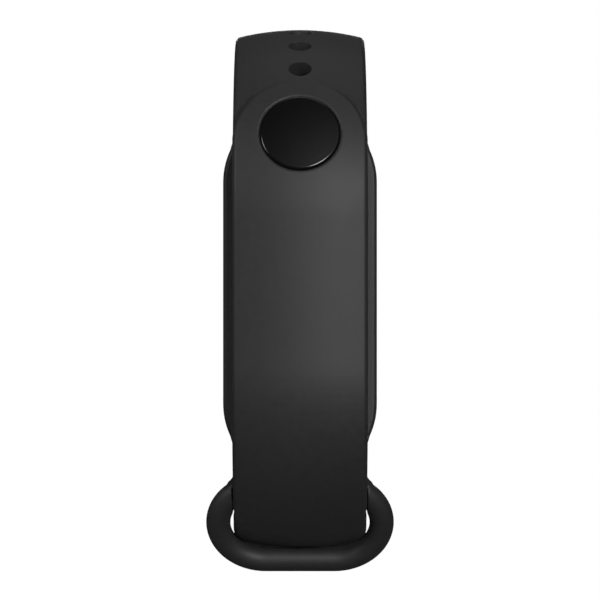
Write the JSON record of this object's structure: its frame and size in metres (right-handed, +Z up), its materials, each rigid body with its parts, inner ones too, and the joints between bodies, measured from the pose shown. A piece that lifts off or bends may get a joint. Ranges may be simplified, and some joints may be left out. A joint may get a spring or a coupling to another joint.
{
  "type": "fitness tracker band",
  "caption": "Closed silicone wrist band with adjustment holes, push-in clasp disc, moulded keeper loop and a removable pill-shaped tracker capsule with rear sensor and charging pads.",
  "frame": {"origin": "centre of the wrist opening, level with the middle of the tracker capsule", "axes": "+X across the strap, along the wrist's axis; +Y from the clasp side to the display side; +Z up, along the band's longest side"},
  "size_m": [0.023, 0.052, 0.0682],
  "materials": {
    "silicone": "matte, fine moulded grain",
    "clasp_coating": "polished black coating with a bright edge",
    "clasp_steel": "turned",
    "shell_plastic": "fine texture",
    "dark_glass": "polished, smoked",
    "black_adhesive": "matte",
    "display": "switched-off screen",
    "polyimide": "amber film",
    "frame_plastic": "moulded",
    "circuit_board": "solder mask",
    "pressed_steel": "pressed",
    "chip_epoxy": "moulded epoxy",
    "gold_plate": "gold-plated",
    "cell_pouch": "laminated foil",
    "white_tape": "foam tape",
    "window_plastic": "infra-red-clear plastic",
    "lamp_epoxy": "clear green epoxy",
    "diode_epoxy": "clear dark epoxy",
    "seal_rubber": "matte",
    "magnet_nickel": "nickel-plated",
    "tungsten": "sintered"
  },
  "bodies": {
    "strap": {"strap_cradle": "silicone", "hole_arm": "silicone", "lower_arm": "silicone"},
    "keeper": {"keeper_loop": "silicone"},
    "tail_base": {"tail_lower": "silicone"},
    "tail_mid": {"tail_middle": "silicone"},
    "tail_end": {"tail_tip": "silicone", "clasp_disc": "clasp_coating", "clasp_stud": "clasp_steel"},
    "capsule": {"capsule_shell": "shell_plastic", "front_glass": "dark_glass", "glass_gasket": "black_adhesive", "display_panel": "display", "display_flex": "polyimide", "inner_frame": "frame_plastic", "main_board": "circuit_board", "shield_can": "pressed_steel", "board_chips": "chip_epoxy", "antenna_strip": "gold_plate", "battery_cell": "cell_pouch", "battery_tab": "gold_plate", "battery_adhesive": "white_tape", "sensor_window": "window_plastic", "sensor_baffle": "black_adhesive", "sensor_leds": "lamp_epoxy", "photodiodes": "diode_epoxy", "sensor_board": "circuit_board", "sensor_flex": "polyimide", "charging_contacts": "gold_plate", "contact_seals": "seal_rubber", "charging_magnet": "magnet_nickel", "motor_can": "pressed_steel", "motor_base": "pressed_steel", "motor_shaft": "pressed_steel", "motor_pad": "black_adhesive"},
    "motor_rotor": {"motor_weight": "tungsten"}
  },
  "joints": [
    {"name": "tail_flex_lower", "type": "hinge", "parent": "strap", "child": "tail_base", "pos_m": [0, -0.02024, -0.01821], "axis": [1, 0, 0], "range_deg": [0, 5], "stiffness_Nm_per_rad": 0.006},
    {"name": "tail_flex_middle", "type": "hinge", "parent": "tail_base", "child": "tail_mid", "pos_m": [0, -0.02185, -0.003], "axis": [1, 0, 0], "range_deg": [0, 15], "stiffness_Nm_per_rad": 0.006},
    {"name": "clasp_peel", "type": "hinge", "parent": "tail_mid", "child": "tail_end", "pos_m": [0, -0.02185, 0.0091], "axis": [1, 0, 0], "range_deg": [0, 60], "stiffness_Nm_per_rad": 0.006},
    {"name": "keeper_flex", "type": "hinge", "parent": "strap", "child": "keeper", "pos_m": [0, -0.01416, -0.02569], "axis": [-1, 0, 0], "range_deg": [0, 8], "stiffness_Nm_per_rad": 0.01},
    {"name": "capsule_release", "type": "slide", "parent": "strap", "child": "capsule", "axis": [0, 1, 0], "range_m": [0, 0.012]},
    {"name": "rotor_spin", "type": "hinge", "parent": "capsule", "child": "motor_rotor", "pos_m": [0, 0.022, -0.0156], "axis": [0, 1, 0], "continuous": true}
  ],
  "couplings": [
    {"joint": "tail_flex_middle", "follows": "clasp_peel", "ratio": 0.25},
    {"joint": "tail_flex_lower", "follows": "clasp_peel", "ratio": 0.08}
  ]
}
